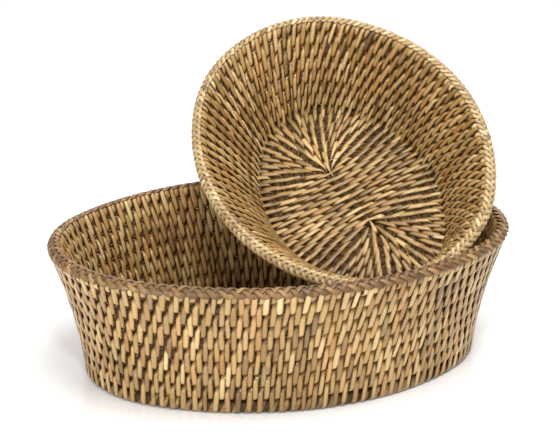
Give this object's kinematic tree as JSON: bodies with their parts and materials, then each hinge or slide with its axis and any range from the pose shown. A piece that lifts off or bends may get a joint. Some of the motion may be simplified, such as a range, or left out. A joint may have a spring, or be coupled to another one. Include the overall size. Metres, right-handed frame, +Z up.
{
  "type": "banneton basket",
  "caption": "Oval coiled-cane bread baskets, a small one lying tilted inside a large one, for proving or serving bread.",
  "frame": {"origin": "middle of the large basket's foot, on the surface that it stands on", "axes": "+Z up, +X along the large basket's length, +Y along its width towards the back, where the small basket rests on the rim"},
  "size_m": [0.3, 0.2425, 0.1973],
  "materials": {
    "core_cane": "matt, darker between the strips",
    "peel_lacing": "split cane with its natural sheen and a thin clear varnish",
    "rim_braid_tan": "brownish tan plaited cane, lightly varnished",
    "rim_braid_straw": "paler straw-coloured plaited cane, lightly varnished"
  },
  "bodies": {
    "large_basket": {"large_base_heart": "core_cane", "large_base_lacing_top": "peel_lacing", "large_base_lacing_under": "peel_lacing", "large_base_rod_01": "core_cane", "large_base_rod_02": "core_cane", "large_base_rod_03": "core_cane", "large_base_rod_04": "core_cane", "large_base_rod_05": "core_cane", "large_base_rod_06": "core_cane", "large_base_rod_07": "core_cane", "large_base_rod_08": "core_cane", "large_base_rod_09": "core_cane", "large_foot_rod": "core_cane", "large_rim_braid": "rim_braid_tan", "large_rim_rod": "core_cane", "large_wall_lacing_inside": "peel_lacing", "large_wall_lacing_outside": "peel_lacing", "large_wall_rod_01": "core_cane", "large_wall_rod_02": "core_cane", "large_wall_rod_03": "core_cane", "large_wall_rod_04": "core_cane", "large_wall_rod_05": "core_cane", "large_wall_rod_06": "core_cane", "large_wall_rod_07": "core_cane", "large_wall_rod_08": "core_cane"},
    "small_basket": {"small_base_heart": "core_cane", "small_base_lacing_top": "peel_lacing", "small_base_lacing_under": "peel_lacing", "small_base_rod_01": "core_cane", "small_base_rod_02": "core_cane", "small_base_rod_03": "core_cane", "small_base_rod_04": "core_cane", "small_base_rod_05": "core_cane", "small_base_rod_06": "core_cane", "small_foot_rod": "core_cane", "small_rim_braid": "rim_braid_straw", "small_rim_rod": "core_cane", "small_wall_lacing_inside": "peel_lacing", "small_wall_lacing_outside": "peel_lacing", "small_wall_rod_01": "core_cane", "small_wall_rod_02": "core_cane", "small_wall_rod_03": "core_cane", "small_wall_rod_04": "core_cane", "small_wall_rod_05": "core_cane", "small_wall_rod_06": "core_cane"}
  },
  "joints": [
    {"name": "lift_out", "type": "slide", "parent": "large_basket", "child": "small_basket", "axis": [0, 0, 1], "range_m": [0, 0.15]}
  ]
}
